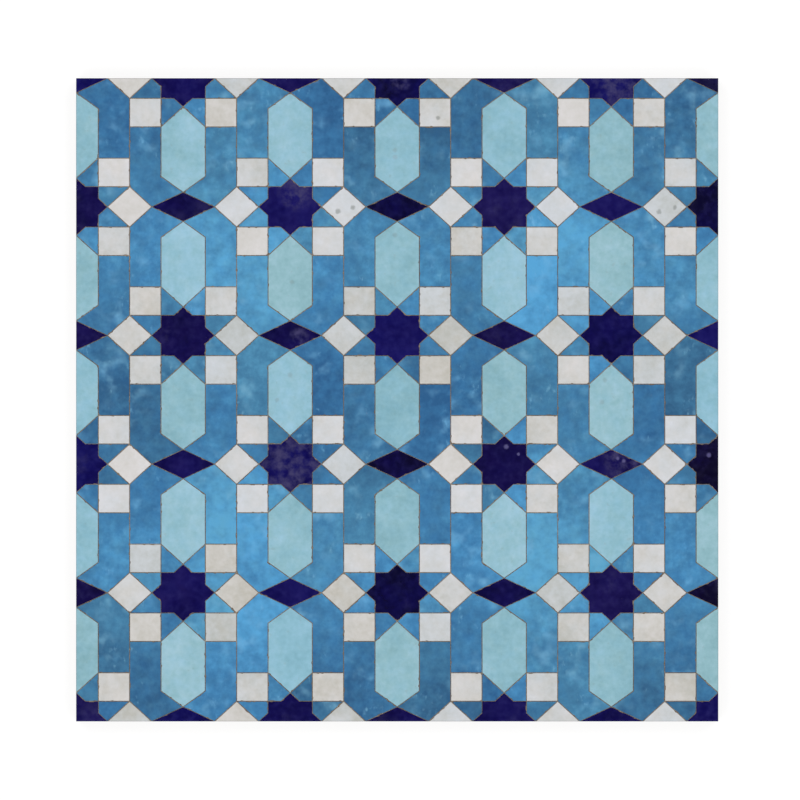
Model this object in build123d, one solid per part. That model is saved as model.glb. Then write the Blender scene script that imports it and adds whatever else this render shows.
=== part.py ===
"""A square panel of zellige mosaic: hand-cut glazed terracotta tiles set in a mortar bed.

The panel lies flat with its glazed faces up. X runs across the pattern, Y up it and Z out of it.
The origin is the centre of the back. The pattern repeats on a brick lattice: an eight-pointed
star stands at every other lattice point and a diamond at the points between. White squares ring
each star, a long hexagon joins each star to the diamond above or below it, and blue tiles fill
the rest. Every size below is in millimetres, and tile sizes run from joint centre to joint
centre. The tiles are a little wider than they are tall.
"""

from build123d import *
import math
import os

# Driving dimensions: the pattern
square_width = 29.8          # small white square, across the panel
square_height = 27.1         # small white square, up the panel
hexagon_length = 81.4        # from its star's tip to its diamond's tip
hexagon_blunt_rise = 15.1    # height of the blunter end, next to the diamond
diamond_half_height = 13.8   # from its centre to the hexagon's tip
columns = 6                  # column spaces across the panel
rows = 5                     # row spaces up the panel

# Driving dimensions: the tiles and their bed
joint_width = 0.9            # gap between two glazed faces
tile_thickness = 11.0        # from the glazed face to the tile's back
side_lean = 9.0              # degrees that a chiselled side leans in towards the tile's back
bed_thickness = 9.0          # mortar under the tiles
joint_recess = 0.6           # the mortar in the joints stops this far below the faces

# What follows from them
star_half_width = square_width / math.sqrt(2)
star_half_height = square_height / math.sqrt(2)
column_pitch = 2 * (star_half_width + square_width)
row_pitch = square_height + hexagon_length + diamond_half_height
panel_width = columns * column_pitch
panel_height = rows * row_pitch
face_level = bed_thickness + tile_thickness
joint_level = face_level - joint_recess


def cut_tile(outline):
    """A tile from its outline on the joint centre lines: flat glazed face, sides leaning in below it."""
    face = offset(outline, amount=-joint_width / 2, kind=Kind.INTERSECTION)
    blank = extrude(Pos(0, 0, face_level) * face, amount=-tile_thickness)
    sides = blank.faces().filter_by(Axis.Z, reverse=True)
    return draft(sides, neutral_plane=Plane.XY.offset(face_level), angle=-side_lean)


def star_outline():
    """Two squares laid over each other, one of them turned an eighth of a turn."""
    upright = Rectangle(2 * star_half_width, 2 * star_half_height)
    turned = diamond_shape(square_width, square_height)
    return upright + turned


def diamond_shape(half_width, half_height):
    return make_face(
        Polyline((half_width, 0), (0, half_height), (-half_width, 0), (0, -half_height), close=True)
    )


def square_outline():
    """The small square off the star's upper right corner."""
    centre = Pos(star_half_width + square_width / 2, star_half_height + square_height / 2)
    return centre * Rectangle(square_width, square_height)


def hexagon_outline():
    """The long hexagon above a star: square shoulders at the star, a blunter end at the diamond."""
    star_shoulder = square_height + star_half_height
    blunt_tip = square_height + hexagon_length
    blunt_shoulder = blunt_tip - hexagon_blunt_rise
    return make_face(
        Polyline(
            (0, square_height),
            (star_half_width, star_shoulder),
            (star_half_width, blunt_shoulder),
            (0, blunt_tip),
            (-star_half_width, blunt_shoulder),
            (-star_half_width, star_shoulder),
            close=True,
        )
    )


def side_kite_outline():
    """The small blue tile between a star's upper right corner and its right tip."""
    notch = square_height - star_half_height
    return make_face(
        Polyline(
            (star_half_width, star_half_height),
            (star_half_width + square_width, star_half_height),
            (square_width, 0),
            (star_half_width, notch),
            close=True,
        )
    )


def top_kite_outline():
    """The small blue tile between a star's upper right corner and its top tip."""
    notch = square_width - star_half_width
    return make_face(
        Polyline(
            (star_half_width, star_half_height),
            (star_half_width, star_half_height + square_height),
            (0, square_height),
            (notch, star_half_height),
            close=True,
        )
    )


def boot_outline():
    """The long blue tile up the right side of a hexagon, with its toe under the diamond."""
    heel = star_half_height + square_height
    outer_side = star_half_width + square_width
    diamond_tip = row_pitch - diamond_half_height
    return make_face(
        Polyline(
            (star_half_width, heel),
            (outer_side, heel),
            (outer_side, row_pitch - star_half_height),
            (square_width, row_pitch),
            (0, diamond_tip),
            (star_half_width, diamond_tip - hexagon_blunt_rise),
            close=True,
        )
    )


def lattice_point(column, row):
    return column * column_pitch - panel_width / 2, row * row_pitch - panel_height / 2


def has_star(column, row):
    return (column + row) % 2 == 0


def on_panel(column, row):
    return 0 <= column <= columns and 0 <= row <= rows


def lay(tile, column, row):
    """The tile at a lattice point, sawn off square where it crosses the panel's edge."""
    x, y = lattice_point(column, row)
    laid = Pos(x, y) * tile
    box = laid.bounding_box()
    inside = abs(box.center().X) + box.size.X / 2 < panel_width / 2
    inside = inside and abs(box.center().Y) + box.size.Y / 2 < panel_height / 2
    return laid if inside else laid & panel_block


def lay_round_stars(tile):
    """The tile in all four quarters round every star, as far as the panel reaches."""
    turned = {
        (1, 1): tile,
        (-1, 1): mirror(tile, about=Plane.YZ),
        (1, -1): mirror(tile, about=Plane.XZ),
        (-1, -1): mirror(mirror(tile, about=Plane.YZ), about=Plane.XZ),
    }
    return [
        lay(piece, column, row)
        for column, row in stars
        for (right, up), piece in turned.items()
        if on_panel(column + right, row + up)
    ]


def lay_hexagons(tile):
    """A hexagon above and below every star."""
    hanging = mirror(tile, about=Plane.XZ)
    upper = [lay(tile, column, row) for column, row in stars if row < rows]
    lower = [lay(hanging, column, row) for column, row in stars if row > 0]
    return upper + lower


def lay_turned_squares(tile):
    """A turned square midway between every star and the diamonds beside it."""
    return [
        lay(tile, column + 0.5, row)
        for column in range(columns)
        for row in range(rows + 1)
    ]


points = [(column, row) for column in range(columns + 1) for row in range(rows + 1)]
stars = [point for point in points if has_star(*point)]
diamonds = [point for point in points if not has_star(*point)]

panel_block = Pos(0, 0, face_level / 2) * Box(panel_width, panel_height, face_level)

star = cut_tile(star_outline())
diamond = cut_tile(diamond_shape(square_width, diamond_half_height))

tiles = {
    "cobalt_stars": [lay(star, column, row) for column, row in stars],
    "cobalt_diamonds": [lay(diamond, column, row) for column, row in diamonds],
    "white_squares": lay_round_stars(cut_tile(square_outline())),
    "white_turned_squares": lay_turned_squares(cut_tile(diamond_shape(star_half_width, star_half_height))),
    "turquoise_hexagons": lay_hexagons(cut_tile(hexagon_outline())),
    "blue_kites": lay_round_stars(cut_tile(side_kite_outline())) + lay_round_stars(cut_tile(top_kite_outline())),
    "blue_boots": lay_round_stars(cut_tile(boot_outline())),
}

# The mortar fills every joint and lies under every tile
poured = Pos(0, 0, joint_level / 2) * Box(panel_width, panel_height, joint_level)
mortar_bed = poured - [tile for laid in tiles.values() for tile in laid]

os.makedirs("parts", exist_ok=True)
for name, laid in tiles.items():
    export_step(Compound(children=[solid for tile in laid for solid in tile.solids()]), f"parts/{name}.step")
export_step(mortar_bed, "parts/mortar_bed.step")

print("panel", round(panel_width, 1), round(panel_height, 1), round(face_level, 1))
print("tiles", {name: len(laid) for name, laid in tiles.items()})
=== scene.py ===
"""A panel of zellige mosaic: hand-cut glazed tiles in a mortar bed, seen from straight above.

The panel lies flat with its glazed faces up. X runs across the pattern, Y up it and Z out of it, and
the origin is the centre of the back. Everything is in metres. The pattern stands on a lattice of
columns and rows: an eight-pointed star at every other point, and a diamond at the points between.
"""

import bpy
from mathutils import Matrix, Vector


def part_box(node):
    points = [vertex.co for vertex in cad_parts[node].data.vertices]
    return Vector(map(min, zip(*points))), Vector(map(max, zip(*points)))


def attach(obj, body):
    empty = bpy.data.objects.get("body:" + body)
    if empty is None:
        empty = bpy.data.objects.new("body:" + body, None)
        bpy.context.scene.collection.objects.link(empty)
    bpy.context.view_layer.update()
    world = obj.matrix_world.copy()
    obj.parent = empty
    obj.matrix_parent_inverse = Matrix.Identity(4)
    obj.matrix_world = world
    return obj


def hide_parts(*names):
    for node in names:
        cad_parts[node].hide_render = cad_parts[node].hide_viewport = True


bl_info = {
    "name": "Zellige Mosaic Panel",
    "version": (1, 0, 0),
    "blender": (4, 5, 0),
    "location": "3D View > Sidebar > Zellige",
    "description": "Hand-cut glazed tiles in their mortar bed, with a plain studio round them",
    "category": "Add Mesh",
}

import math

import bmesh
import bpy
import numpy as np
from bpy.props import FloatProperty, FloatVectorProperty, IntProperty, PointerProperty
from bpy.types import Operator, Panel, PropertyGroup

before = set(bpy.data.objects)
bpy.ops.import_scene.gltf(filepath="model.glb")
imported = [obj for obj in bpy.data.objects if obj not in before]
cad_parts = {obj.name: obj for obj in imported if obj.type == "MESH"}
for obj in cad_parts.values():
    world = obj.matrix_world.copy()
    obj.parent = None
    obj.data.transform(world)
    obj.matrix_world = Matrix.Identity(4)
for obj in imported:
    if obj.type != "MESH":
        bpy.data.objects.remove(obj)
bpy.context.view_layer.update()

MM = 0.001
panel_width, panel_height = (high - low for low, high in list(zip(*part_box("mortar_bed")))[:2])
face_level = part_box("cobalt_stars")[1][2]
SQUARE_WIDTH = panel_width / 12 / (1 + math.sqrt(0.5))  # from the panel's six columns


def number(**fixed):
    """A maker of one kind of number, from its name, description and default."""
    def make(name, description, default, **own):
        return FloatProperty(name=name, description=description, default=default, **{**fixed, **own})

    return make


plain = number(min=0)
length = number(min=0, precision=5, unit="LENGTH")
angle = number(subtype="ANGLE")
share = number(min=0, subtype="FACTOR")


def colour(name, description, *screen):
    """A colour given as it looks on a screen, 0 to 255, and kept as the light Blender works with."""
    light = [((part / 255 + 0.055) / 1.055) ** 2.4 if part > 10 else part / 255 / 12.92 for part in screen]
    return FloatVectorProperty(
        name=name, description=description, default=light, min=0, max=1, subtype="COLOR"
    )


class PatternSizes(PropertyGroup):
    """The pattern and its tiles, joint centre to joint centre."""

    columns: IntProperty(name="Columns", description="Column spaces across the panel", default=6, min=1)
    rows: IntProperty(name="Rows", description="Row spaces up the panel", default=5, min=1)
    square_width: length("Square width", "White square, across the panel", SQUARE_WIDTH)
    square_height: length("Square height", "White square, up the panel", 27.1 * MM)
    hexagon_length: length("Hexagon length", "From its star's tip to its diamond's tip", 81.4 * MM)
    blunt_rise: length("Blunt end", "Height of the hexagon's blunter end, next to the diamond", 15.1 * MM)
    diamond_half_height: length("Diamond half height", "From its centre to the hexagon's tip", 13.8 * MM)
    joint_width: length("Joint", "Gap between two glazed faces", 0.76 * MM)
    joint_recess: length("Joint recess", "How far the mortar stops below the faces", 0.6 * MM)
    tile_thickness: length("Tile thickness", "From the glazed face to the tile's back", 11 * MM)
    side_lean: angle("Side lean", "How far a chiselled side leans in below the face", math.radians(9))


class HandSizes(PropertyGroup):
    """What the hand leaves on the tiles and the mortar."""

    rim_spacing: length("Rim spacing", "Distance between two points of a tile's rim", 2.3 * MM)
    rim_wobble: length("Rim wobble", "How far a cut side strays from its line", 0.04 * MM)
    arris: length("Arris", "Width of the crumbled edge between face and side", 0.05 * MM)
    cobalt_bead: length("Cobalt bead", "Bulge of the thick cobalt glaze past its tile's side", 0.13 * MM)
    chip_width: length("Chip width", "Widest chip off an edge", 0.34 * MM)
    chip_depth: length("Chip depth", "Deepest chip off an edge", 0.3 * MM)
    side_pluck: length("Side pluck", "Depth of the chisel's marks down the sides", 0.25 * MM)
    face_sway: length("Face sway", "Swell and hollow of a glazed face", 0.07 * MM)
    face_drop: length("Face drop", "How far a tile may lie below its neighbours", 0.22 * MM)
    face_tilt: angle("Face tilt", "Usual tilt of a tile in its bed", math.radians(0.16))
    back_sway: length("Back sway", "Height of the trowel's lips on the back", 1.3 * MM)
    joint_spacing: length("Joint spacing", "Distance between two points of a joint", 5.1 * MM)


class Colours(PropertyGroup):
    """Glazes, clay and mortar."""

    blue_deep: colour("Deep blue", "Kites and boots at their darkest", 50, 96, 138)
    blue_mid: colour("Middle blue", "Kites and boots", 70, 130, 173)
    blue_pale: colour("Pale blue", "Kites and boots at their lightest", 94, 168, 212)
    blue_bloom: colour("Blue bloom", "Milky patches in the blue glaze", 124, 184, 220)
    turquoise_deep: colour("Deep turquoise", "Hexagons at their darkest", 130, 175, 188)
    turquoise_mid: colour("Middle turquoise", "Hexagons", 146, 190, 204)
    turquoise_pale: colour("Pale turquoise", "Hexagons at their lightest", 162, 202, 220)
    cobalt_deep: colour("Deep cobalt", "Stars and diamonds at their darkest", 6, 3, 38)
    cobalt_mid: colour("Middle cobalt", "Stars and diamonds", 14, 8, 74)
    cobalt_pale: colour("Bright cobalt", "Stars and diamonds at their brightest", 26, 22, 98)
    cobalt_haze: colour("Cobalt haze", "Cloudy patches in the cobalt glaze", 66, 62, 104)
    cobalt_dot: colour("Cobalt dot", "Pale dots in the cobalt glaze", 96, 92, 138)
    white_deep: colour("Deep white", "White squares at their greyest", 190, 190, 184)
    white_mid: colour("Middle white", "White squares", 208, 209, 209)
    white_pale: colour("Pale white", "White squares at their whitest", 220, 221, 225)
    soot: colour("Soot", "Kiln specks in the white glaze", 132, 136, 132)
    clay_light: colour("Light clay", "Fired body, where it is bare", 220, 194, 166)
    clay_dark: colour("Dark clay", "Fired body, in its pores", 184, 150, 122)
    grog: colour("Grog", "Crushed fired clay in the body", 164, 112, 84)
    # Painted shade along each tile's edge: partly the thin glaze on the arris, partly painted shade where
    # the joint's groove shades the edge
    stain: colour("Stain", "Mortar rubbed into chips", 104, 88, 76)
    burnt_and_shaded_edge: colour("Burnt edge", "Thin glaze along the arris", 58, 48, 44)
    sand: colour("Sand", "Palest grains in the mortar", 190, 176, 152)
    mortar_light: colour("Light mortar", "Joints and back, in the grains", 162, 146, 127)
    mortar_dark: colour("Dark mortar", "Joints and back, between grains", 112, 98, 83)


class StageSizes(PropertyGroup):
    """Camera, lamps and floor."""

    frame_width: length("Frame width", "Width that the picture takes in, at the glazed faces", 760.5 * MM)
    look_right: length("Look right", "Camera's aim, right of the panel's centre", 2.66 * MM, min=-1)
    look_up: length("Look up", "Camera's aim, above the panel's centre", -0.19 * MM, min=-1)
    lens: plain("Lens", "Focal length in millimetres", 200)
    lamp_power: plain("Lamp power", "Watts in each lamp", 41)
    lamp_size: length("Lamp size", "Side of each square lamp", 2.4)
    lamp_distance: length("Lamp distance", "From the panel to each lamp", 3.2)
    sky: share("Sky", "Strength of the even light from all round", 0.04)
    floor_tone: share("Floor tone", "How much of the lamps' light the floor gives back", 0.26)
    floor_glow: share("Floor glow", "What the camera sees of the floor beside the lamps' light", 0.8)
    floor_reach: length("Floor reach", "From the panel to where the floor turns up", 9)
    backdrop_height: length("Backdrop height", "How far the floor's edge rises", 7)


SAWN_WITHIN = 1e-7  # a corner this near the panel's edge lies on it
NOTCH_REACH = 1 / (math.sqrt(2) * math.cos(math.pi / 8))  # of a star's notches, where its tips reach 1


class Pattern:
    """The lengths that follow from the driving sizes, and the outlines of each kind of tile, drawn
    round a star and laid wherever the pattern has them. Outlines run anticlockwise. Sizes are pairs,
    across the panel and up it."""

    def __init__(self):
        sizes = bpy.context.scene.zellige_sizes
        self.columns, self.rows = sizes.columns, sizes.rows
        self.square = np.array((sizes.square_width, sizes.square_height))
        self.star = self.square / math.sqrt(2)
        self.diamond = np.array((sizes.square_width, sizes.diamond_half_height))
        self.blunt_tip = sizes.square_height + sizes.hexagon_length
        self.blunt_shoulder = self.blunt_tip - sizes.blunt_rise
        row_pitch = self.blunt_tip + sizes.diamond_half_height
        self.pitch = np.array((2 * (self.star[0] + self.square[0]), row_pitch))
        self.half = self.pitch * (self.columns, self.rows) / 2
        points = [(column, row) for column in range(self.columns + 1) for row in range(self.rows + 1)]
        self.stars = [point for point in points if sum(point) % 2 == 0]
        self.diamonds = [point for point in points if sum(point) % 2]

    def at(self, column, row):
        return self.pitch * (column, row) - self.half

    def lay(self, outline, places):
        return [trimmed(outline + self.at(*place), self.half) for place in places]

    def lay_round_stars(self, outline, quarters=((1, 1), (-1, 1), (-1, -1), (1, -1))):
        """The outline mirrored into the quarters round every star, as far as the panel reaches."""
        laid = []
        for column, row in self.stars:
            for right, up in quarters:
                if 0 <= column + right <= self.columns and 0 <= row + up <= self.rows:
                    turned = outline * (right, up)
                    laid.append((turned if right * up > 0 else turned[::-1]) + self.at(column, row))
        return laid

    def lay_on_corner(self, reach, places):
        """Four corners, one at each end of the two axes."""
        return self.lay(np.array(((1, 0), (0, 1), (-1, 0), (0, -1))) * reach, places)

    def cobalt_stars(self):
        """Tips on a circle every eighth of a turn and notches halfway between them on a smaller one,
        both stretched to the star's width and height."""
        corner = np.arange(16)
        turn = corner * math.tau / 16
        reach = np.where(corner % 2, NOTCH_REACH, 1)
        outline = np.stack((np.cos(turn), np.sin(turn)), axis=1) * reach[:, None] * self.square
        return self.lay(outline, self.stars)

    def cobalt_diamonds(self):
        return self.lay_on_corner(self.diamond, self.diamonds)

    def white_squares(self):
        """Off the star's upper right corner."""
        return self.lay_round_stars(self.star + np.array(((0, 0), (1, 0), (1, 1), (0, 1))) * self.square)

    def white_turned_squares(self):
        midway = [(column + 0.5, row) for column in range(self.columns) for row in range(self.rows + 1)]
        return self.lay_on_corner(self.star, midway)

    def turquoise_hexagons(self):
        """Above and below a star, square shoulders at the star and a blunter end at the diamond."""
        side, shoulder = self.star[0], self.star[1] + self.square[1]
        right = ((0, self.square[1]), (side, shoulder), (side, self.blunt_shoulder))
        left = ((0, self.blunt_tip), (-side, self.blunt_shoulder), (-side, shoulder))
        upper = np.array(right + left)
        laid = self.lay(upper, [point for point in self.stars if point[1] < self.rows])
        return laid + self.lay((upper * (1, -1))[::-1], [point for point in self.stars if point[1] > 0])

    def blue_kites(self):
        """Between a star's upper right corner and its right tip, and between that corner and its top."""
        (side, top), (tip, height) = self.star, self.square
        beside = ((tip, 0), (side + tip, top), (side, top), (side, height - top))
        above = ((tip - side, top), (side, top), (side, top + height), (0, height))
        return self.lay_round_stars(np.array(beside)) + self.lay_round_stars(np.array(above))

    def blue_boots(self):
        """Up the right side of a hexagon, toe under the diamond. The third corner is a straight one,
        where a square and another boot meet on the boot's long side."""
        (side, top), up = self.star, self.pitch[1]
        outer, heel = self.star + self.square
        shaft = ((side, heel), (outer, heel), (outer, up - heel), (outer, up - top))
        toe = ((self.square[0], up), (0, self.blunt_tip), (side, self.blunt_shoulder))
        return self.lay_round_stars(np.array(shaft + toe))

    def every_tile(self):
        squares = self.white_squares() + self.white_turned_squares()
        cobalt = self.cobalt_stars() + self.cobalt_diamonds()
        return cobalt + squares + self.turquoise_hexagons() + self.blue_kites() + self.blue_boots()


def trimmed(outline, half):
    """An outline cut off square at the panel's four edges, one straight cut after another."""
    for axis, side in ((0, 1), (0, -1), (1, 1), (1, -1)):
        over = side * outline[:, axis] - half[axis]
        kept = []
        corners = zip(outline, np.roll(outline, -1, axis=0), over, np.roll(over, -1))
        for here, there, past, next_past in corners:
            if past < SAWN_WITHIN:
                kept.append(here)
            if min(past, next_past) < -SAWN_WITHIN and max(past, next_past) > SAWN_WITHIN:
                kept.append(here + (there - here) * past / (past - next_past))
        outline = np.array(kept)
    return outline


class Rim:
    """Points round an outline, evenly spaced along each side, that can be drawn in from it. Each
    corner moves to where its two sides meet again, and the points keep their share of each side. So
    a ring is base + joint * (inset of the joint sides) + saw * (inset of the sawn sides)."""

    def __init__(self, outline, half, spacing):
        self.outline = outline
        along = np.roll(outline, -1, axis=0) - outline
        reach = np.linalg.norm(along, axis=1)
        self.inward = np.stack((-along[:, 1], along[:, 0]), axis=1) / reach[:, None]
        edge = np.abs(outline) > half - SAWN_WITHIN
        sawn = (edge & np.roll(edge, -1, axis=0) & (np.abs(along) < SAWN_WITHIN)).any(axis=1)
        steps = np.maximum(1, np.rint(reach / spacing)).astype(int)
        self.side = np.repeat(np.arange(len(outline)), steps)
        first = np.repeat(np.cumsum(steps) - steps, steps)
        self.fraction = (np.arange(len(self.side)) - first) / steps[self.side]
        self.sawn = sawn[self.side]
        self.sawn_corner = (self.fraction == 0) & np.roll(sawn, 1)[self.side] & self.sawn
        self.near_saw = self.sawn | np.roll(self.sawn, 1)
        self.base = self.along_sides(outline)
        beside = np.stack((np.roll(self.inward, 1, axis=0), self.inward), axis=1)
        moves = np.linalg.pinv(beside, rcond=1e-6)

        def drawn_in(sides):
            """How far each point moves when the given sides are drawn in by one."""
            pairs = np.stack((np.roll(sides, 1), sides), axis=1)[..., None]
            return self.along_sides((moves @ pairs)[..., 0])

        self.joint, self.saw = drawn_in(~sawn), drawn_in(sawn)

    def along_sides(self, corners):
        start, end = corners[self.side], np.roll(corners, -1, axis=0)[self.side]
        return start + (end - start) * self.fraction[:, None]

    def ring(self, joint, saw=0.0):
        return self.base + self.joint * np.reshape(joint, (-1, 1)) + self.saw * saw

    def from_edge(self, points):
        """Distance from each point to the nearest side, no further along it than its two ends."""
        along = np.roll(self.outline, -1, axis=0) - self.outline
        away = points[:, None] - self.outline
        share = np.clip((away * along).sum(axis=-1) / (along**2).sum(axis=-1), 0, 1)
        return np.linalg.norm(away - along * share[..., None], axis=-1).min(axis=1)

    def heart(self):
        """The point that sees the whole outline and lies furthest from the nearest side's line."""
        low, high = self.outline.min(axis=0), self.outline.max(axis=0)
        spots = np.stack(np.meshgrid(*np.linspace(low, high, 41).T), axis=-1).reshape(-1, 2)
        inside = ((spots[:, None] - self.outline) * self.inward).sum(axis=-1).min(axis=1)
        return spots[inside.argmax()]


SHARPEST_SMOOTH = math.radians(32)  # faces that meet at more than this show an edge
WAVE_COUNT = 14
WAVE_PEAK = 1.6  # seldom passed by the waves' sum over the root of half their count


def waves(points, wavelength, seed):
    """A smooth uneven surface, mostly -1 to 1: the sum of cosine waves of about one wavelength with
    seeded directions, lengths and phases, over the root of half their count and over its peak."""
    draw = np.random.default_rng(seed)
    heading = draw.uniform(0, math.tau, WAVE_COUNT)
    number = math.tau / (wavelength * draw.uniform(0.7, 1.5, WAVE_COUNT))
    across = points[..., :1] * np.cos(heading) + points[..., 1:2] * np.sin(heading)
    phase = draw.uniform(0, math.tau, WAVE_COUNT)
    return np.cos(across * number + phase).sum(axis=-1) / math.sqrt(WAVE_COUNT / 2) / WAVE_PEAK


def skin_faces(rows, places, first=True, last=True):
    """Faces of a grid that closes round its rim, with a pole before its first row, after its last or
    both: quads between the rows and a fan at each pole. They face out where the rows run outward
    on top."""
    index = first + np.arange(rows * places).reshape(rows, places)
    beside = np.roll(index, -1, axis=1)
    quads = np.stack((index[:-1], index[1:], beside[1:], beside[:-1]), axis=-1).reshape(-1, 4)
    before = np.stack((np.zeros(places, int), index[0], beside[0]), axis=-1)
    after = np.stack((np.full(places, first + rows * places), beside[-1], index[-1]), axis=-1)
    return quads, np.concatenate((before[: first * places], after[: last * places]))


def make_mesh(name, patches):
    """One object from many patches, each with its points, quads, triangles and point attributes."""
    points, quads, triangles, attributes = zip(*patches)
    starts = np.cumsum([0] + [len(patch) for patch in points])
    faces = [(part + start).tolist() for kind in (quads, triangles) for part, start in zip(kind, starts)]
    mesh = bpy.data.meshes.new(name)
    mesh.from_pydata(np.concatenate(points), [], sum(faces, []))
    for label in attributes[0]:
        values = np.concatenate([patch[label] for patch in attributes]).astype(np.float32)
        kind, field = ("FLOAT", "value") if values.ndim == 1 else ("FLOAT_VECTOR", "vector")
        mesh.attributes.new(label, kind, "POINT").data.foreach_set(field, values.ravel())
    if mesh.validate():
        raise RuntimeError(f"{name} had faces that had to be repaired")
    mesh.shade_smooth()
    mesh.set_sharp_from_angle(angle=SHARPEST_SMOOTH)
    thing = bpy.data.objects.new(name, mesh)
    bpy.context.scene.collection.objects.link(thing)
    return thing


FACE_SHARES = (0.82, 0.64, 0.46, 0.3, 0.15)  # rows of a face, as shares of the way in to its heart
SHOULDER = 0.65 * MM  # from the arris to the outermost row of the face
SAW_SHOULDER = 0.5 * MM  # the same on a sawn side
TOP_ROUNDING = 0.02 * MM  # how far the face has fallen where the arris begins
FACE_RANGE = (0.02 * MM, 0.42 * MM)  # least and most that a face lies below the panel's top
SIDE_DEPTHS = (0.6 * MM, 5 * MM)  # rows of points down a side, above the tile's back
CHIP_RARITY = 0.93  # the share of the chip wave that leaves the edge whole
WOBBLE_WAVE, WOBBLE_SEED = 17 * MM, 11
CHIP_WAVE, CHIP_SEED = 6 * MM, 12
PLUCK_WAVE, PLUCK_SEED = 9 * MM, 13
SWAY_WAVE, SWAY_SEED = 21 * MM, 14


def tile_patch(rim, sizes, hand, draw, tint, bead):
    """The closed skin of one tile, a function of the row and the place round the rim. Face rows are
    the rim drawn towards the tile's heart, at the face level less the tile's own drop and tilt and a
    slow wave. The arris rows round over, and drop where the chip wave passes its threshold. A thick
    glaze bulges there. Side rows move in by their depth times the tangent of the lean."""
    lean = math.tan(sizes.side_lean)
    half_joint = sizes.joint_width / 2
    heart = rim.heart()
    batch = draw.uniform(-1, 1, 3)
    tilt = draw.normal(0, math.tan(hand.face_tilt), 2)
    drop = draw.uniform(0.2, 1) * hand.face_drop
    own = rim.base + batch[:2]
    wobble = half_joint + hand.rim_wobble * waves(own, WOBBLE_WAVE, WOBBLE_SEED)
    chips = np.clip((waves(own, CHIP_WAVE, CHIP_SEED) - CHIP_RARITY) / (1 - CHIP_RARITY), 0, 1)
    chips = chips * ~rim.near_saw
    pluck = hand.side_pluck * (0.5 + 0.5 * waves(own, PLUCK_WAVE, PLUCK_SEED))

    def height(points):
        sway = hand.face_sway * waves(points + batch[:2], SWAY_WAVE, SWAY_SEED)
        return face_level - np.clip(drop + (points - heart) @ tilt + sway, *FACE_RANGE)

    shoulder = rim.ring(wobble + SHOULDER, SAW_SHOULDER)
    flat = [shoulder + (heart - shoulder) * near for near in FACE_SHARES] + [shoulder]
    top = rim.ring(wobble - bead + hand.arris + chips * hand.chip_width, hand.arris)
    lip = rim.ring(wobble - bead + chips * hand.chip_width / 2)
    lip_depth = 2 * hand.arris + chips * hand.chip_depth
    side_depths = (*SIDE_DEPTHS, sizes.tile_thickness)
    sides = [rim.ring(wobble + depth * lean + pluck) for depth in side_depths]
    plan = np.concatenate([heart[None], *flat, top, lip, *sides, heart[None]])
    bare = np.zeros(len(rim.base))
    rows = [height(row) for row in flat] + [height(top) - TOP_ROUNDING - chips * hand.chip_depth / 3]
    rows += [height(lip) - lip_depth] + [bare + face_level - depth for depth in side_depths]
    level = np.concatenate([height(heart[None]), *rows, [face_level - sizes.tile_thickness]])
    deep = [bare] * len(flat) + [bare, lip_depth] + [bare + depth for depth in side_depths]
    depth = np.concatenate([[0], *deep, [sizes.tile_thickness]])
    edge = np.clip(rim.from_edge(plan) - half_joint, 0, None)
    chipped = np.concatenate([[0], *[bare] * len(flat), chips, chips, *[bare] * len(sides), [0]])
    attributes = {
        "tint": tint(plan, heart, draw),
        "edge": edge / MM,
        "depth": depth / MM,
        "chip": chipped,
        "lean": np.full(len(plan), 0.36 * draw.normal() - 0.1),
        "batch": np.tile(batch, (len(plan), 1)),
    }
    return np.column_stack((plan, level)), *skin_faces(len(rows), len(rim.base)), attributes


FIRING_BAND = 288 * MM  # from one pale band of the blue glaze to the next, up the panel
FIRING_PEAK = 135 * MM  # height of a pale band's middle above the panel's centre
KILN_BAND = 308 * MM  # from one pale band of the other glazes to the next
BLUE_SEED, DRIFT_SEED = 21, 22

# Column and row of the cobalt tiles that fired darkest and brightest
DARK_FIRED = ((3, 1), (6, 1), (3, 2), (6, 2), (3, 4), (6, 4), (3, 5), (6, 5))
BRIGHT_FIRED = ((1, 1), (5, 1), (2, 1), (3, 3), (6, 3), (2, 4), (4, 4), (5, 4))


def blue_tint(plan, heart, draw):
    """How pale the blue fired, 0 to 1: every third strip between two columns is paler, a cosine band
    crosses the panel, and a slow wave and each tile's own step lie over both."""
    strip = int((heart[0] + panel_width / 2) / Pattern().pitch[0])
    band = np.cos(math.tau * (plan[:, 1] - FIRING_PEAK) / FIRING_BAND)
    slow = waves(plan, 90 * MM, BLUE_SEED)
    return 0.36 + 0.29 * (strip % 3 == 1) + 0.19 * band + 0.07 * slow + 0.05 * draw.normal()


def own_tint(spread, band, axis, crest):
    """Each tile's own shade, 0 to 1: most lie a little above a half and a few fall well below it, with
    a slow drift across each. A cosine band of the given strength crosses the panel along one axis."""
    def tint(plan, heart, draw):
        own = spread * (1 - min(draw.exponential(), 2.2))
        fired = band * np.cos(math.tau * (plan[:, axis] - crest) / KILN_BAND)
        return 0.5 + own + fired + 0.1 * waves(plan + draw.uniform(-1, 1, 2), 50 * MM, DRIFT_SEED)

    return tint


white_tint = own_tint(0.16, 0.17, axis=1, crest=-79 * MM)
turquoise_tint = own_tint(0.16, 0.13, axis=0, crest=121 * MM)
plain_cobalt_tint = own_tint(0.08, 0.06, axis=1, crest=-26 * MM)


def cobalt_tint(plan, heart, draw):
    """Each tile's own shade and a faint band, lower in the dark-fired tiles and higher in the
    bright-fired ones."""
    pattern = Pattern()
    place = tuple(np.rint((heart + pattern.half) / pattern.pitch).astype(int).tolist())
    fired = 0.24 * (place in BRIGHT_FIRED) - 0.34 * (place in DARK_FIRED)
    return plain_cobalt_tint(plan, heart, draw) + fired


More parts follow.
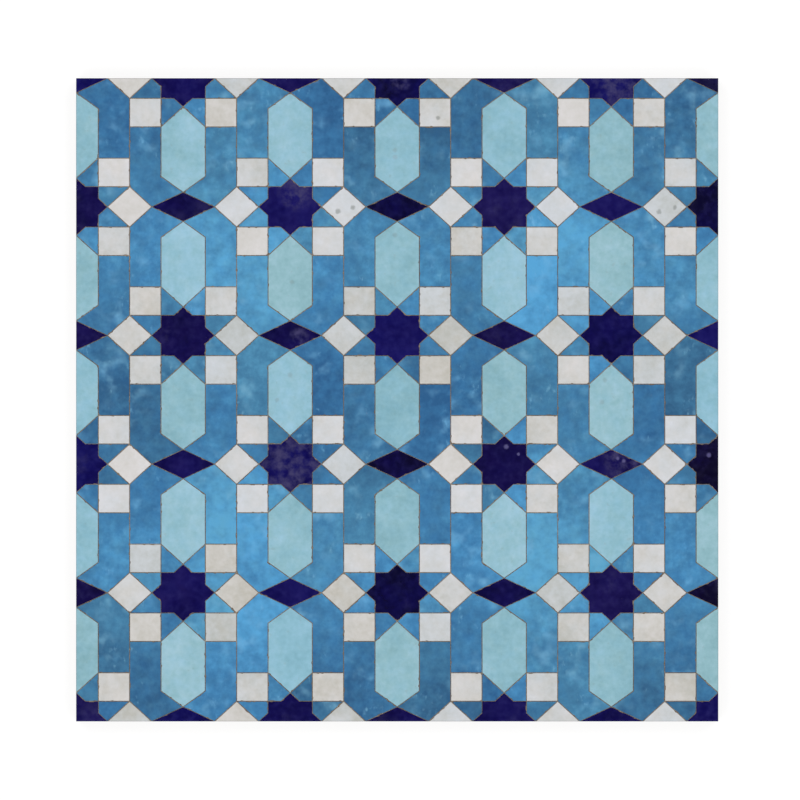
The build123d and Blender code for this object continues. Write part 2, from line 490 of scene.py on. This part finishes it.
def mortar_patches(pattern, sizes, hand):
    """The mortar's skin: one pocket for each tile and a shell round the outside. A pocket's rows run
    from the joint's centre line to the tile's side, down the side and over the pocket's floor to the
    heart. On a sawn side it is open, and its profile becomes the top of the shell. Pockets meet along
    the centre lines, because both sides of a joint take the same points, and are merged there."""
    lean = math.tan(sizes.side_lean)
    half_joint = sizes.joint_width / 2
    joint_level = face_level - sizes.joint_recess
    floor_level = face_level - sizes.tile_thickness
    # Each row's distance in from the joint's centre line, and its level
    rows = (
        (0, joint_level - 0.1 * MM),
        (half_joint + sizes.joint_recess * lean, joint_level + 0.05 * MM),
        (half_joint + sizes.tile_thickness * lean, floor_level),
    )
    patches, brinks = [], []
    for outline in pattern.every_tile():
        rim = Rim(outline, pattern.half, hand.joint_spacing)
        places = len(rim.base)
        points = np.stack([np.insert(rim.ring(inset), 2, level, axis=1) for inset, level in rows])
        points[0, :, 2] += 0.05 * MM * waves(points[0, :, :2], 4 * MM, JOINT_SEED)
        index = np.arange(3 * places).reshape(3, places)
        beside = np.roll(index, -1, axis=1)
        shut = ~np.tile(rim.sawn, (2, 1))
        quads = np.stack((index[:-1], beside[:-1], beside[1:], index[1:]), axis=-1)[shut]
        triangles = np.stack((np.full(places, 3 * places), index[2], beside[2]), axis=-1)
        heart = np.append(rim.heart(), floor_level)
        patches.append((np.vstack((points.reshape(-1, 3), heart)), quads, triangles, {}))
        brinks += pocket_brinks(rim, points)

    def bearing(brink):
        across, up = (brink[0, :2] + brink[-1, :2]) / 2 / pattern.half
        return math.atan2(up, across)

    return patches + [shell_patch(np.concatenate(sorted(brinks, key=bearing)), pattern.half, hand)]


def pocket_brinks(rim, rows):
    """Where a pocket is open on a sawn side: its profile from one joint to the next. A corner of the
    panel lies between two sawn sides, and has only the pocket's floor."""
    brinks = []
    corners = np.flatnonzero(rim.fraction == 0)
    for start, end in zip(corners, np.append(corners[1:], len(rim.side))):
        if rim.sawn[start]:
            after = end % len(rim.side)
            down = rows[:0, start] if rim.sawn_corner[start] else rows[:2, start]
            up = rows[:0, after] if rim.sawn_corner[after] else rows[1:2, after]
            brinks.append(np.concatenate((down, rows[2, start:end], rows[2, after][None], up)))
    return brinks


TROWEL_PIVOT = np.array((-130, -560)) * MM  # where the arm that drew the trowel turned
TROWEL_WIDTH = 118 * MM
TROWEL_STEP = 86 * MM  # from one stroke to the next
TROWEL_STROKES = 11
TROWEL_SEED, LIP_SEED, SLOW_SEED, FINE_SEED, JOINT_SEED = 43, 44, 41, 42, 31
CRUMBLE = 0.9 * MM  # width and height of the back's rubbed edge
BACK_RINGS = 91  # from the back's edge in to its centre


def trowelled(points):
    """Relief of the trowelled back, mostly 0 to 1. Each stroke is a band along an arc about nearly the
    same pivot, the outermost first. It rises evenly across its width to a bell-shaped lip of uneven
    height, and wipes out what lies under it."""
    draw = np.random.default_rng(TROWEL_SEED)
    relief = np.full(len(points), 0.3)
    uneven = 0.65 + 0.35 * waves(points, 90 * MM, LIP_SEED)
    for number in reversed(range(TROWEL_STROKES)):
        pivot = TROWEL_PIVOT + draw.normal(0, 30 * MM, 2)
        reach = 200 * MM + number * TROWEL_STEP + draw.normal(0, 14 * MM)
        across = (np.linalg.norm(points - pivot, axis=1) - reach) / (TROWEL_WIDTH / 2)
        lip = uneven * np.exp(-(((across - 0.9) / 0.06) ** 2))
        stroke = 0.3 + 0.22 * across + draw.uniform(0.35, 0.75) * lip
        cover = np.clip((1 - np.abs(across)) / 0.06, 0, 1)
        relief = relief + (stroke - relief) * cover
    return relief


def shell_patch(brink, half, hand):
    """Edges and back of the bed: rows run from the brink straight down to the back's rubbed edge and
    in over the back as ever smaller rectangles to a pole in its centre. The back's height is the
    trowel's relief on a slow wave and a fine one, cut off at the ground."""
    distinct = np.linalg.norm(brink - np.roll(brink, 1, axis=0), axis=1) > SAWN_WITHIN
    plan, top = brink[distinct, :2], brink[distinct, 2]

    def ground(points):
        slow = 0.2 + 0.18 * waves(points, 120 * MM, SLOW_SEED)
        fine = 0.07 * waves(points, 12 * MM, FINE_SEED)
        return hand.back_sway * np.clip(slow + fine + trowelled(points), 0, None)

    foot = ground(plan) + CRUMBLE
    rows = [(plan, foot + (top - foot) * share) for share in (1, 0.75, 0.5, 0.25, 0)]
    shares = (1 - CRUMBLE / half.max(), *np.linspace(1, 0, BACK_RINGS + 1)[1:-1])
    rows += [(plan * share, ground(plan * share)) for share in shares]
    centre = np.zeros((1, 2))
    points = np.concatenate([np.column_stack(row) for row in (*rows, (centre, ground(centre)))])
    return points, *skin_faces(len(rows), len(plan), first=False), {}


def socket(sockets, key):
    """A node's socket by its number or its identifier."""
    return sockets[key] if isinstance(key, int) else next(one for one in sockets if one.identifier == key)


def opaque(tone):
    return (*tone, 1.0)


class Finish:
    """One material. Each method adds a node and returns what comes out of it. A value given to a node
    is another node's output, or a plain number or colour. Grains are in millimetres."""

    def __init__(self, name):
        self.material = bpy.data.materials.new(name)
        self.material.use_nodes = True
        self.tree = self.material.node_tree
        self.colours = bpy.context.scene.zellige_colours
        self.place = self.own = self.node("ShaderNodeTexCoord", "Object")

    def node(self, kind, output, inputs=(), **settings):
        node = self.tree.nodes.new(kind)
        for setting, value in settings.items():
            setattr(node, setting, value)
        for key, value in dict(inputs).items():
            self.feed(socket(node.inputs, key), value)
        return socket(node.outputs, output)

    def feed(self, into, value):
        if isinstance(value, bpy.types.NodeSocket):
            self.tree.links.new(value, into)
        else:
            into.default_value = opaque(value) if into.type == "RGBA" else value

    def shade(self, name, value):
        self.feed(self.tree.nodes["Principled BSDF"].inputs[name], value)

    def attribute(self, name, field="Fac"):
        return self.node("ShaderNodeAttribute", field, attribute_name=name)

    def moved(self, place, offset):
        return self.node("ShaderNodeVectorMath", "Vector", {0: place, 1: offset}, operation="ADD")

    def stretched(self, place, scale):
        return self.node("ShaderNodeMapping", "Vector", {"Vector": place, "Scale": scale})

    def noise(self, grain, detail=2.0, roughness=0.5, place=None):
        """Soft noise, 0 to 1."""
        inputs = {"Vector": place or self.own, "Scale": 1 / (grain * MM), "Detail": detail}
        return self.node("ShaderNodeTexNoise", "Fac", {**inputs, "Roughness": roughness})

    def cells(self, grain, field="Color"):
        """A random number for each cell, or the distance from its middle."""
        return self.node("ShaderNodeTexVoronoi", field, {"Vector": self.own, "Scale": 1 / (grain * MM)})

    def holes(self, spacing, rarity, widest, soft, depth=1):
        """Round holes of uneven size, at most one to a cell, down to their depth."""
        size = self.between(self.cells(spacing), *rarity, 0, widest)
        inside = self.math("SUBTRACT", size, self.cells(spacing, "Distance"))
        return self.between(inside, 0, soft, 0, depth)

    def rings(self, centre, spacing):
        """Uneven fine lines on circles round an upright axis, 0 to 1."""
        inputs = {
            "Vector": self.moved(self.place, (-centre[0], -centre[1], 0)),
            "Scale": math.tau / 20 / (spacing * MM),
            "Distortion": 9,
            "Detail": 3,
            "Detail Scale": 0.12,
        }
        return self.node("ShaderNodeTexWave", "Fac", inputs, wave_type="RINGS", rings_direction="Z")

    def math(self, operation, *values):
        return self.node("ShaderNodeMath", "Value", enumerate(values), operation=operation)

    def times(self, one, other):
        return self.math("MULTIPLY", one, other)

    def times_plus(self, one, factor, other):
        return self.math("MULTIPLY_ADD", one, factor, other)

    def between(self, value, low, high, to_low=0, to_high=1):
        """The value carried from one range to another, with soft ends."""
        names = ("Value", "From Min", "From Max", "To Min", "To Max")
        inputs = zip(names, (value, low, high, to_low, to_high))
        return self.node("ShaderNodeMapRange", "Result", inputs, interpolation_type="SMOOTHSTEP")

    def mix(self, share, one, other, blend="MIX"):
        """From one colour or number to the other."""
        number = getattr(one, "type", "") == "VALUE"
        kind, data = ("Float", "FLOAT") if number else ("Color", "RGBA")
        inputs = {"Factor_Float": share, "A_" + kind: one, "B_" + kind: other}
        return self.node("ShaderNodeMix", "Result_" + kind, inputs, data_type=data, blend_type=blend)

    def ramp(self, value, *tones):
        """Evenly spaced colours along 0 to 1."""
        colour = self.node("ShaderNodeValToRGB", "Color", {"Fac": value})
        stops = colour.node.color_ramp.elements
        for place in np.linspace(0, 1, len(tones))[1:-1]:
            stops.new(place)
        for stop, tone in zip(stops, tones):
            stop.color = opaque(tone)
        return colour

    def bump(self, height):
        """Relief whose height is in metres."""
        return self.node("ShaderNodeBump", "Normal", {"Distance": 1, "Height": height})

    def saw_marks(self):
        """Fine level scratches that a saw leaves down the panel's edges, 0 to 1."""
        return self.noise(0.55, 3, 0.6, self.stretched(self.place, (0.06, 0.06, 1)))


class TileFinish(Finish):
    """A glaze on its clay, with the tile's own place, which makes each tile's patterns its own."""

    def __init__(self, name):
        super().__init__(name)
        self.own = self.moved(self.place, self.attribute("batch", "Vector"))

    def toned(self, name, *mottles):
        """A glaze's three tones along the tile's tint under soft noises, each a grain and a strength."""
        tint = self.attribute("tint")
        for grain, strength in mottles:
            centred = self.math("SUBTRACT", tint, strength / 2)
            tint = self.times_plus(self.noise(grain, 2, 0.55), strength, centred)
        shades = [getattr(self.colours, f"{name}_{shade}") for shade in ("deep", "mid", "pale")]
        return self.ramp(tint, *shades)

    def warmed(self, glaze, grain, amount):
        """The glaze leaning to red or to blue by up to an amount of its light: each tile by itself,
        and a soft noise within it."""
        lean = self.times_plus(self.noise(grain), 1.2, self.attribute("lean"))
        warm, cool = (1 + amount, 1, 1 - amount), (1 - amount, 1, 1 + amount)
        return self.mix(1, glaze, self.ramp(lean, cool, warm), "MULTIPLY")

    def frayed(self, reach):
        """A soft noise that moves a spot's edge by up to half its reach in millimetres, out or in."""
        return self.times_plus(self.noise(reach, place=self.place), reach * MM, -reach / 2 * MM)

    def spot(self, fray, column, row, right, up, width):
        """A soft spot: 1 in its middle, gone at three quarters of its width from there, and moved out
        or in at its edge by the fray."""
        centre = Pattern().at(column, row) + np.array((right, up)) * MM
        ends = {0: self.place, 1: (*centre, face_level)}
        away = self.node("ShaderNodeVectorMath", "Value", ends, operation="DISTANCE")
        return self.between(self.math("ADD", away, fray), width * 0.25 * MM, width * 0.75 * MM, 1, 0)

    def spotted(self, glaze, spots, reach, strength, tone):
        """The glaze with a list of spots in one colour."""
        fray = self.frayed(reach)
        for spot in spots:
            glaze = self.mix(self.times(self.spot(fray, *spot), strength), glaze, tone)
        return glaze

    def clay(self, grit, scratches):
        """Sandy body with darker and paler grog, dark pores and the saw's scratches."""
        tones = self.colours
        grain = self.times_plus(scratches, 0.45, self.times(grit, 0.8))
        clay = self.ramp(self.between(grain, 0.35, 0.9), tones.clay_dark, tones.clay_light)
        grog = self.between(self.cells(1.1), 0.76, 0.84, 0, 0.5)
        clay = self.mix(grog, clay, tones.grog)
        return self.mix(self.holes(2.2, (0.4, 0.9), 0.2, 0.08, 0.8), clay, tones.stain)

    def fired(self, glaze, edge_burn_and_shade=0.02):
        """Lays the glaze on its clay, which is bare down the sides and in the chips. The glaze is darkened
        along the arris, partly as thin glaze and partly as painted shade next to the joint, with a lazy
        swell, a fine orange peel and a few pinholes."""
        tones = self.colours
        depth, edge, chip = (self.attribute(name) for name in ("depth", "edge", "chip"))
        ragged = self.noise(1.1)
        run_down = self.between(self.times_plus(ragged, 0.5, depth), 0.45, 0.75)
        broken = self.between(self.times_plus(ragged, 0.5, chip), 0.6, 0.8)
        bare = self.math("MAXIMUM", run_down, broken)
        grit = self.noise(0.9, 4, 0.65)
        scratches = self.saw_marks()
        pinhole = self.holes(9, (0.55, 0.95), 0.05, 0.03)
        # Painted shade: the glaze darkens within 0.3 mm of the joint, partly thin glaze on the arris and
        # partly painted shade from the joint's groove
        glaze = self.mix(self.between(edge, 0.05, 0.3, edge_burn_and_shade, 0), glaze, tones.burnt_and_shaded_edge)
        glaze = self.mix(self.times(pinhole, 0.4), glaze, tones.clay_dark)
        clay = self.mix(self.between(depth, 0.5, 0.9), tones.stain, self.clay(grit, scratches))
        self.shade("Base Color", self.mix(bare, glaze, clay))
        gloss = self.between(self.noise(6, 3), 0.35, 0.7, 0.13, 0.24)
        self.shade("Roughness", self.mix(bare, gloss, 0.88))
        peel = self.times(self.noise(1.6, 1), 0.004 * MM)
        relief = self.times_plus(self.noise(13, 1), 0.1 * MM, peel)
        relief = self.times_plus(pinhole, -0.12 * MM, relief)
        rough = self.times_plus(scratches, 0.16 * MM, self.times(grit, 0.26 * MM))
        self.shade("Normal", self.bump(self.mix(bare, relief, rough)))
        self.shade("IOR", 1.5)
        return self.material


def blue_glaze():
    """Tint runs deep to pale, mottled inside each tile, with milky blooms where the glaze pooled."""
    finish = TileFinish("blue glaze")
    tones = finish.colours
    glaze = finish.toned("blue", (19, 0.62), (8, 0.58), (3, 0.24))
    bloom = finish.between(finish.noise(14, 2, 0.45), 0.46, 0.9, 0, 0.75)
    rare = finish.between(finish.noise(42, 1), 0.46, 0.64)
    streaks = finish.noise(4.6, 3, 0.5, finish.stretched(finish.own, (1, 0.6, 1)))
    fleck = finish.between(streaks, 0.52, 0.82, 0, 0.65)
    strewn = finish.between(finish.noise(21, 1), 0.55, 0.7)
    glaze = finish.mix(finish.times(bloom, rare), glaze, tones.blue_bloom)
    glaze = finish.mix(finish.times(fleck, strewn), glaze, tones.blue_bloom)
    return finish.fired(finish.warmed(glaze, 12, 0.07))


# Every spot: its column and row, millimetres right and up from there, and millimetres across
FAINT_SPECKS = (
    (2, 2, -0.2, 84.7, 4.5), (2, 2, -12.5, 61.0, 4.0), (3, 5, -2.1, -68.3, 4.0),
    (3, 5, -2.1, -74.9, 4.5), (5, 3, -6.0, -42.3, 4.0), (5, 3, -8.8, -63.2, 4.5),
    (2, 4, 1.7, -71.4, 4.0), (3, 3, -2.1, 95.5, 4.5),
)
HAZE_PATCHES = (
    (2, 4, 6, 15, 30), (2, 2, 3, -2, 62), (5, 5, 5, -5, 42),
    (5, 2, 9, 2, 30), (2, 3, 8, -3, 16), (3, 5, 2, -4, 16),
)
HAZE_DOTS = (
    (4, 2, 1.9, 16.5, 4.2), (4, 2, 13.5, 9.5, 2.6), (6, 2, -9.0, 8.5, 4.0),
    (5, 2, 6.0, 5.5, 3.0), (5, 2, 12.0, 3.0, 3.2),
)
SOOT_SPECKS = (
    (2.5, 4, -5.4, -4.4, 4.6), (2.5, 4, 8.5, -0.7, 4.1), (5.5, 4, -5.5, -4.7, 4.4),
    (5.5, 4, 9.7, -0.4, 3.9), (3, 5, 38.8, -37.8, 3.8),
)


def turquoise_glaze():
    """Green drifts to blue across each tile, with faint grey smudges and specks."""
    finish = TileFinish("turquoise glaze")
    tones = finish.colours
    glaze = finish.warmed(finish.toned("turquoise", (17, 0.78), (6, 0.72), (3.2, 0.44)), 10, 0.045)
    smudge = finish.between(finish.noise(5), 0.66, 0.76, 0, 0.14)
    glaze = finish.mix(smudge, glaze, tones.soot)
    return finish.fired(finish.spotted(glaze, FAINT_SPECKS, 2, 0.26, tones.soot), edge_burn_and_shade=0.3)


def cobalt_glaze():
    """Deep to bright, with cloudy patches and pale dots on some tiles."""
    finish = TileFinish("cobalt glaze")
    tones = finish.colours
    glaze = finish.warmed(finish.toned("cobalt", (14, 0.7), (6, 0.6)), 14, 0.2)
    cloud = finish.between(finish.noise(9, 4, 0.6), 0.34, 0.72)
    cast = finish.between(finish.noise(40, 1), 0.58, 0.75, 0.03, 0.3)
    fray = finish.frayed(8)
    for patch in HAZE_PATCHES:
        cast = finish.math("MAXIMUM", cast, finish.spot(fray, *patch))
    glaze = finish.mix(finish.times(cloud, cast), glaze, tones.cobalt_haze)
    return finish.fired(finish.spotted(glaze, HAZE_DOTS, 1.6, 0.8, tones.cobalt_dot))


def white_glaze():
    """Warm to cool, faintly clouded, with a few soot specks fired into single squares."""
    finish = TileFinish("white glaze")
    glaze = finish.warmed(finish.toned("white", (18, 0.62), (6, 0.62), (3.2, 0.34)), 16, 0.04)
    glaze = finish.spotted(glaze, SOOT_SPECKS, 2.6, 0.62, finish.colours.soot)
    return finish.fired(glaze, edge_burn_and_shade=0.32)


def mortar():
    """Sand and cement: pale sand in a darker paste, cloudy where it dried unevenly, pitted by air
    bubbles, with the trowel's fine arcs on the back."""
    finish = Finish("sandy mortar")
    tones = finish.colours
    paste = finish.noise(1.7, 4, 0.6)
    stroke = finish.rings(TROWEL_PIVOT, 6)
    pit = finish.holes(7, (0.5, 1), 0.2, 0.06)
    grain = finish.times(finish.cells(0.9), 0.3)
    tone = finish.times_plus(paste, 0.5, finish.times_plus(finish.noise(60, 3), 0.5, grain))
    tone = finish.between(finish.times_plus(stroke, 0.05, tone), 0.4, 1.1)
    skin = finish.ramp(tone, tones.mortar_dark, tones.mortar_light)
    sand = finish.between(finish.cells(0.8), 0.8, 0.84, 0, 0.5)
    skin = finish.mix(sand, skin, tones.sand)
    finish.shade("Base Color", finish.mix(finish.times(pit, 0.5), skin, tones.mortar_dark))
    finish.shade("Roughness", 0.92)
    relief = finish.times(finish.cells(0.9, "Distance"), -0.25 * MM)
    marks = ((paste, 0.3), (stroke, 0.06), (pit, -0.7), (finish.saw_marks(), 0.12))
    for mark, height in marks:
        relief = finish.times_plus(mark, height * MM, relief)
    finish.shade("Normal", finish.bump(relief))
    return finish.material


def dress(piece, node, slot, material):
    """Gives a finished piece its material, hangs it under the root body and hides the part it replaces."""
    piece.data.materials.append(material)
    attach(piece, "root")
    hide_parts(node)


class TileOperator:
    """What the tile operators share: all the tiles of one kind as one object, with one glaze."""

    bl_options = {"REGISTER", "UNDO"}

    def lay(self, node, slot, seed, tint, glaze):
        sizes, hand = bpy.context.scene.zellige_sizes, bpy.context.scene.zellige_hand
        pattern, draw = Pattern(), np.random.default_rng(seed)
        rims = [Rim(outline, pattern.half, hand.rim_spacing) for outline in getattr(pattern, node)()]
        bead = hand.cobalt_bead if glaze is cobalt_glaze else 0
        patches = [tile_patch(rim, sizes, hand, draw, tint, bead) for rim in rims]
        material = bpy.data.materials.get(slot.replace("_", " ")) or glaze()
        dress(make_mesh(f"{node}_glazed", patches), node, slot, material)
        return {"FINISHED"}


class ZELLIGE_OT_cobalt_stars(TileOperator, Operator):
    """Lay the eight-pointed stars"""

    bl_idname = "zellige.cobalt_stars"
    bl_label = "Cobalt Stars"

    def execute(self, context):
        return self.lay("cobalt_stars", "cobalt_glaze", 101, cobalt_tint, cobalt_glaze)


class ZELLIGE_OT_cobalt_diamonds(TileOperator, Operator):
    """Lay the diamonds between the stars"""

    bl_idname = "zellige.cobalt_diamonds"
    bl_label = "Cobalt Diamonds"

    def execute(self, context):
        return self.lay("cobalt_diamonds", "cobalt_glaze", 102, cobalt_tint, cobalt_glaze)


class ZELLIGE_OT_white_squares(TileOperator, Operator):
    """Lay the upright squares round every star"""

    bl_idname = "zellige.white_squares"
    bl_label = "White Squares"

    def execute(self, context):
        return self.lay("white_squares", "white_glaze", 103, white_tint, white_glaze)


class ZELLIGE_OT_white_turned_squares(TileOperator, Operator):
    """Lay the turned squares between stars and diamonds"""

    bl_idname = "zellige.white_turned_squares"
    bl_label = "White Turned Squares"

    def execute(self, context):
        return self.lay("white_turned_squares", "white_glaze", 104, white_tint, white_glaze)


class ZELLIGE_OT_turquoise_hexagons(TileOperator, Operator):
    """Lay the long hexagons above and below every star"""

    bl_idname = "zellige.turquoise_hexagons"
    bl_label = "Turquoise Hexagons"

    def execute(self, context):
        return self.lay("turquoise_hexagons", "turquoise_glaze", 105, turquoise_tint, turquoise_glaze)


class ZELLIGE_OT_blue_kites(TileOperator, Operator):
    """Lay the small kites between a star's points"""

    bl_idname = "zellige.blue_kites"
    bl_label = "Blue Kites"

    def execute(self, context):
        return self.lay("blue_kites", "blue_glaze", 106, blue_tint, blue_glaze)


class ZELLIGE_OT_blue_boots(TileOperator, Operator):
    """Lay the long boots beside every hexagon"""

    bl_idname = "zellige.blue_boots"
    bl_label = "Blue Boots"

    def execute(self, context):
        return self.lay("blue_boots", "blue_glaze", 107, blue_tint, blue_glaze)


MERGED_WITHIN = 2e-6


class ZELLIGE_OT_mortar_bed(Operator):
    """Pour the bed with a pocket for every tile"""

    bl_idname = "zellige.mortar_bed"
    bl_label = "Mortar Bed"
    bl_options = {"REGISTER", "UNDO"}

    def execute(self, context):
        sizes, hand = context.scene.zellige_sizes, context.scene.zellige_hand
        piece = make_mesh("mortar_bed_poured", mortar_patches(Pattern(), sizes, hand))
        skin = bmesh.new()
        skin.from_mesh(piece.data)
        bmesh.ops.remove_doubles(skin, verts=skin.verts, dist=MERGED_WITHIN)
        gaps = sum(not edge.is_manifold for edge in skin.edges)
        skin.to_mesh(piece.data)
        skin.free()
        if gaps:
            raise RuntimeError(f"the mortar's skin is open along {gaps} edges")
        dress(piece, "mortar_bed", "mortar", mortar())
        return {"FINISHED"}


def add_lamp(number, stage):
    """A square soft lamp that looks at the panel from halfway up the sky."""
    lamp = bpy.data.lights.new(f"lamp_{number}", "AREA")
    lamp.shape = "SQUARE"
    lamp.size = stage.lamp_size
    lamp.energy = stage.lamp_power
    holder = bpy.data.objects.new(lamp.name, lamp)
    bearing = math.radians(45 + 90 * number)
    level = stage.lamp_distance * math.sqrt(0.5)
    holder.location = (level * math.cos(bearing), level * math.sin(bearing), level)
    holder.rotation_euler = (-holder.location).to_track_quat("-Z", "Y").to_euler()
    holder.visible_camera = False
    bpy.context.scene.collection.objects.link(holder)


def backdrop_mesh(stage):
    """A round floor that curves up into a wall: a profile of radius and height carried round the
    upright axis. The profile is a line, a quarter circle and a line."""
    bend = stage.backdrop_height / 2
    turn = np.linspace(0, math.pi / 2, 13)[1:]
    curve = stage.floor_reach + bend * np.sin(turn)
    radius = (0.5, 1.5, 4, stage.floor_reach, *curve, curve[-1])
    height = (0, 0, 0, 0, *(bend * (1 - np.cos(turn))), stage.backdrop_height)
    bearing = np.linspace(0, math.tau, 97)[:-1]
    rows = [
        np.column_stack((out * np.cos(bearing), out * np.sin(bearing), np.full(len(bearing), up)))
        for out, up in zip(radius, height)
    ]
    faces = skin_faces(len(rows), len(bearing), last=False)
    return make_mesh("floor", [(np.concatenate((np.zeros((1, 3)), *rows)), *faces, {})])


def floor_finish(stage):
    """Plain white, with a glow that only the camera and what mirrors or bends its view see, so that
    the floor reads as white round the panel and still keeps its shadow."""
    finish = Finish("floor")
    seen = finish.node("ShaderNodeLightPath", "Is Camera Ray")
    for kind in ("Glossy", "Transmission"):
        seen = finish.math("MAXIMUM", seen, finish.node("ShaderNodeLightPath", f"Is {kind} Ray"))
    finish.shade("Base Color", (stage.floor_tone,) * 3)
    finish.shade("Roughness", 0.9)
    finish.shade("Specular IOR Level", 0)
    finish.shade("Emission Color", (1, 1, 1))
    finish.shade("Emission Strength", finish.times(seen, stage.floor_glow))
    return finish.material


class ZELLIGE_OT_stage(Operator):
    """Set the camera, four soft lamps and a white floor"""

    bl_idname = "zellige.stage"
    bl_label = "Stage"
    bl_options = {"REGISTER", "UNDO"}

    def execute(self, context):
        scene = context.scene
        stage = scene.zellige_stage
        floor = backdrop_mesh(stage)
        floor.data.materials.append(floor_finish(stage))
        for number in range(4):
            add_lamp(number, stage)
        scene.world = bpy.data.worlds.new("sky")
        scene.world.use_nodes = True
        sky = scene.world.node_tree.nodes["Background"].inputs
        sky["Color"].default_value = opaque((1, 1, 1))
        sky["Strength"].default_value = stage.sky
        camera = bpy.data.cameras.new("camera")
        camera.lens = stage.lens
        holder = bpy.data.objects.new("camera", camera)
        away = stage.frame_width * stage.lens / camera.sensor_width
        holder.location = (stage.look_right, stage.look_up, face_level + away)
        scene.collection.objects.link(holder)
        scene.camera = holder
        scene.view_settings.view_transform = "Standard"
        return {"FINISHED"}


class ZELLIGE_PT_sidebar(Panel):
    """The panel's pieces and its stage"""

    bl_label = "Zellige Mosaic Panel"
    bl_idname = "ZELLIGE_PT_sidebar"
    bl_space_type = "VIEW_3D"
    bl_region_type = "UI"
    bl_category = "Zellige"

    def draw(self, context):
        for operator in OPERATORS:
            self.layout.operator(operator.bl_idname)
        for group in GROUPS:
            settings = getattr(context.scene, group)
            box = self.layout.box()
            for name in settings.bl_rna.properties.keys():
                if name not in ("rna_type", "name"):
                    box.prop(settings, name)


OPERATORS = (
    ZELLIGE_OT_stage,
    ZELLIGE_OT_mortar_bed,
    ZELLIGE_OT_cobalt_stars,
    ZELLIGE_OT_cobalt_diamonds,
    ZELLIGE_OT_white_squares,
    ZELLIGE_OT_white_turned_squares,
    ZELLIGE_OT_turquoise_hexagons,
    ZELLIGE_OT_blue_kites,
    ZELLIGE_OT_blue_boots,
)
GROUPS = {
    "zellige_sizes": PatternSizes,
    "zellige_hand": HandSizes,
    "zellige_colours": Colours,
    "zellige_stage": StageSizes,
}


def register():
    for part in (*GROUPS.values(), *OPERATORS, ZELLIGE_PT_sidebar):
        bpy.utils.register_class(part)
    for name, group in GROUPS.items():
        setattr(bpy.types.Scene, name, PointerProperty(type=group))


def unregister():
    for name in GROUPS:
        delattr(bpy.types.Scene, name)
    for part in reversed((*GROUPS.values(), *OPERATORS, ZELLIGE_PT_sidebar)):
        bpy.utils.unregister_class(part)


def main():
    register()
    for operator in OPERATORS:
        family, name = operator.bl_idname.split(".")
        getattr(getattr(bpy.ops, family), name)()


if __name__ == "__main__":
    main()
